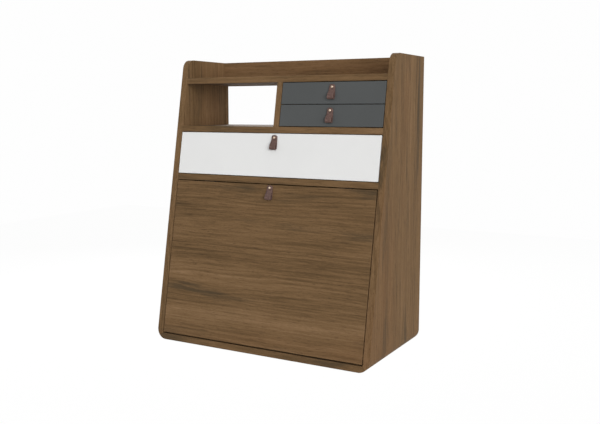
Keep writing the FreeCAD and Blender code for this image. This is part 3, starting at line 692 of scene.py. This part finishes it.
def add_stud(owner, place):
    """Domed screw of one pull, seated on both layers of its strap, in place of the solid one."""
    name = f"{owner}_stud"
    seat = place @ Matrix.Translation((0, -2 * STRAP_LAYER, 0))
    stud = new_piece(name, turned_mesh(name, stud_profile()), BRASS, owner, seat)
    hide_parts(f"{owner}_pull_screw")


for owner in ("flap", "large_drawer", "lower_drawer", "upper_drawer"):
    place = pull_place(owner)
    add_strap(owner, place)
    add_stud(owner, place)


# Countersunk screws of the fittings: a low crown with a cross recess.

CROWN_SEGMENTS = 24

# Shares of a head's radius.
SHANK_SHARE = 0.6
SUNK_SHARE = 0.4
CROWN_SHARE = 0.84
CROSS_REACH = 0.62
CROSS_HALF_WIDTH = 0.15

# Shares of how far a head stands proud.
RIM_LEVEL = 0.6
CROSS_FLOOR_LEVEL = 0.1


def add_head(builder, place, radius, proud):
    """One closed screw head, sunk into its fitting. Its own Z points out of the fitting."""
    def ring(share, level):
        reach = share * radius
        return [Vector((reach * math.cos(angle), reach * math.sin(angle), level))
                for angle in turns(CROWN_SEGMENTS)]

    def cross(level):
        reach = CROSS_REACH * radius
        half = CROSS_HALF_WIDTH * radius
        points = []
        for angle in turns(4):
            turn = Matrix.Rotation(angle, 4, "Z")
            for x, y in ((reach, -half), (reach, half), (half, half)):
                points.append(turn @ Vector((x, y, level)))
        return points

    def vertices(points):
        return [builder.verts.new(place @ point) for point in points]

    def band(first, second):
        for step in range(len(first)):
            following = (step + 1) % len(first)
            builder.faces.new((first[step], first[following], second[following], second[step]))

    crown = ring(CROWN_SHARE, proud)
    mouth = cross(proud)
    shank_ring = vertices(ring(SHANK_SHARE, -SUNK_SHARE * radius))
    seat_ring = vertices(ring(1.0, 0.0))
    rim_ring = vertices(ring(1.0, RIM_LEVEL * proud))
    crown_ring = vertices(crown)
    mouth_ring = vertices(mouth)
    floor_ring = vertices(cross(CROSS_FLOOR_LEVEL * proud))
    builder.faces.new(shank_ring)
    band(shank_ring, seat_ring)
    band(seat_ring, rim_ring)
    band(rim_ring, crown_ring)
    around = crown_ring + mouth_ring
    for triangle in tessellate_polygon([crown, mouth]):
        builder.faces.new([around[index] for index in triangle])
    band(mouth_ring, floor_ring)
    builder.faces.new(floor_ring)


def add_screws(owner, body, places, radius, proud):
    """Screws of one fitting as one piece."""
    builder = bmesh.new()
    for place in places:
        add_head(builder, place, radius, proud)
    name = f"{owner}_screws"
    screws = new_piece(name, mesh_from(builder, name), STEEL, body, Matrix.Identity(4))
    shade_evenly(screws)


# Screws of the stays, of the catches and of their strike plates.

BASE_SCREW_FROM_MIDDLE = 19 * MM
SHOE_SCREW_FROM_MIDDLE = 11.5 * MM
SHOE_FOOT_FROM_PIN = 9 * MM
STRIKE_HALF_THICKNESS = 1 * MM

# A catch and its strike plate have the same length and the same places of their screws.
CATCH_LENGTH = 40 * MM
CATCH_SCREW_FROM_MIDDLE = 13 * MM

FACING_BACK = LEANING @ Matrix.Rotation(-math.pi / 2, 4, "X")
FACING_DOWN = Matrix.Rotation(math.pi, 4, "X")
pivots = {joint["name"]: Vector(joint["pos_m"]) for joint in frame["joints"] if "pos_m" in joint}


def add_stay_screws(word, side):
    """Screws of one stay's base plate on the side panel, and of its shoe on the flap."""
    base = f"stay_base_{word}"
    low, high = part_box(base)
    plate = middle(base)
    plate.x = low[0] if side > 0 else high[0]
    facing_in = Matrix.Rotation(-side * math.pi / 2, 4, "Y")
    pin = pivots[f"stay_rod_{word}_pivot"]
    base_screws = []
    shoe_screws = []
    for sign in (-1, 1):
        on_plate = plate + Vector((0, 0, sign * BASE_SCREW_FROM_MIDDLE))
        base_screws.append(Matrix.Translation(on_plate) @ facing_in)
        on_shoe = pin + LEANING @ Vector((0, -SHOE_FOOT_FROM_PIN, sign * SHOE_SCREW_FROM_MIDDLE))
        shoe_screws.append(Matrix.Translation(on_shoe) @ FACING_BACK)
    add_screws(base, "carcass", base_screws, radius=3.4 * MM, proud=0.5 * MM)
    add_screws(f"stay_shoe_{word}", "flap", shoe_screws, radius=2.8 * MM, proud=0.5 * MM)


def screw_places(pair, height, depth, facing):
    """Places of the two screws on each fitting of a left and right pair."""
    low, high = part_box(pair)
    places = []
    for x in (low[0] + CATCH_LENGTH / 2, high[0] - CATCH_LENGTH / 2):
        for sign in (-1, 1):
            place = (x + sign * CATCH_SCREW_FROM_MIDDLE, depth, height)
            places.append(Matrix.Translation(place) @ facing)
    return places


def add_catch_screws():
    """Screws under the catches, and on the faces of the strike plates."""
    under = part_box("magnetic_catches")[0][2]
    case_screws = screw_places("magnetic_catches", under, middle("magnetic_catches").y, FACING_DOWN)
    add_screws("magnetic_catches", "carcass", case_screws, radius=3.0 * MM, proud=0.4 * MM)
    face = middle("strike_plates") + LEANING @ Vector((0, STRIKE_HALF_THICKNESS, 0))
    strike_screws = screw_places("strike_plates", face.z, face.y, FACING_BACK)
    add_screws("strike_plates", "flap", strike_screws, radius=2.6 * MM, proud=0.12 * MM)


add_stay_screws("left", -1)
add_stay_screws("right", 1)
add_catch_screws()


# Stage and light.

FLOOR_LEVEL = -1.0
FLOOR_SPAN = 14.0
FLOOR_TONE = srgb(205, 205, 204)
FLOOR_GLOW = 1.025
FLOOR_WHITE = 0.92
WHITE_LIGHT = (1, 1, 1, 1)
SURROUND_LIGHT = 0.27
OVERHEAD_LIGHT = 0.75
SURROUND_WHITE = 0.99
LIT_POINT = Vector((0.0, -0.2, 0.15))
KEY_OFFSET = Vector((4.5, -3.9, 0.9))
KEY_POWER = 2.4
KEY_ANGLE = math.radians(40)
RIM_OFFSET = Vector((-3.0, 4.0, 2.0))
RIM_POWER = 170
RIM_SIZE = 3.0


def seen_rays(graph):
    """One for a ray from the camera, off gloss or through glass, and zero for any other."""
    rays = graph.add("LightPath").outputs
    direct = graph.math("MAXIMUM", rays["Is Camera Ray"], rays["Is Glossy Ray"])
    return graph.math("MAXIMUM", direct, rays["Is Transmission Ray"])


def make_floor():
    """Pale floor that reads as white and still takes the desk's shadow."""
    half = FLOOR_SPAN / 2
    corners = [(x * half, y * half, FLOOR_LEVEL) for x, y in ((-1, -1), (1, -1), (1, 1), (-1, 1))]
    mesh = bpy.data.meshes.new("floor")
    mesh.from_pydata(corners, [], [(0, 1, 2, 3)])
    floor = new_object("floor", mesh)
    shader = Shader("pale_floor")
    shader.finish(FLOOR_TONE, roughness=0.8, specular=0.1)
    white = shader.add("Emission", {"Color": WHITE_LIGHT, "Strength": FLOOR_GLOW})
    inputs = {
        0: shader.times(seen_rays(shader), FLOOR_WHITE),
        1: shader.surface.outputs["BSDF"],
        2: white.outputs["Emission"],
    }
    blend = shader.add("MixShader", inputs)
    shader.put(shader.tree.nodes["Material Output"].inputs["Surface"], blend.outputs["Shader"])
    mesh.materials.append(shader.material)


def make_world():
    """Studio surround: white where it is seen, and as light soft and brighter overhead."""
    world = bpy.data.worlds.new("studio")
    world.use_nodes = True
    scene.world = world
    graph = Nodes(world.node_tree)
    direction = graph.add("TexCoord").outputs["Generated"]
    level = graph.add("SeparateXYZ", {"Vector": direction}).outputs["Z"]
    light = graph.add("MapRange", {"Value": level, "To Min": SURROUND_LIGHT, "To Max": OVERHEAD_LIGHT})
    inputs = {
        MIX_FACTOR: seen_rays(graph),
        MIX_FIRST_NUMBER: light.outputs["Result"],
        MIX_SECOND_NUMBER: SURROUND_WHITE,
    }
    strength = graph.add("Mix", inputs).outputs[MIXED_NUMBER]
    background = graph.tree.nodes["Background"]
    graph.put(background.inputs["Color"], WHITE_LIGHT)
    graph.put(background.inputs["Strength"], strength)


def make_lamp(name, kind, offset, power):
    """Soft lamp that points at the desk."""
    lamp = bpy.data.lights.new(name, kind)
    lamp.energy = power
    holder = new_object(name, lamp)
    holder.location = LIT_POINT + offset
    holder.rotation_euler = (-offset).to_track_quat("-Z", "Y").to_euler()
    return lamp


make_floor()
make_world()
make_lamp("key", "SUN", KEY_OFFSET, KEY_POWER).angle = KEY_ANGLE
make_lamp("rim", "AREA", RIM_OFFSET, RIM_POWER).size = RIM_SIZE


# Camera of the photograph, fitted to the desk's corners and edges.

YAW = math.radians(29.0695)
PITCH = math.radians(-7.358)
CAMERA_PLACE = (1.19474, -2.25725, 0.44471)
FOCAL_PIXELS = 791.91
IMAGE_WIDTH = 600
SENSOR_WIDTH = 36


def make_camera():
    """Level camera that looks to the left and a little down."""
    camera = bpy.data.cameras.new("camera")
    camera.sensor_fit = "HORIZONTAL"
    camera.sensor_width = SENSOR_WIDTH
    camera.lens = FOCAL_PIXELS / IMAGE_WIDTH * SENSOR_WIDTH
    eye = new_object("camera", camera)
    eye.location = CAMERA_PLACE
    level = math.cos(PITCH)
    gaze = Vector((-math.sin(YAW) * level, math.cos(YAW) * level, math.sin(PITCH)))
    eye.rotation_euler = gaze.to_track_quat("-Z", "Y").to_euler()
    scene.camera = eye


make_camera()
scene.view_settings.view_transform = "Standard"
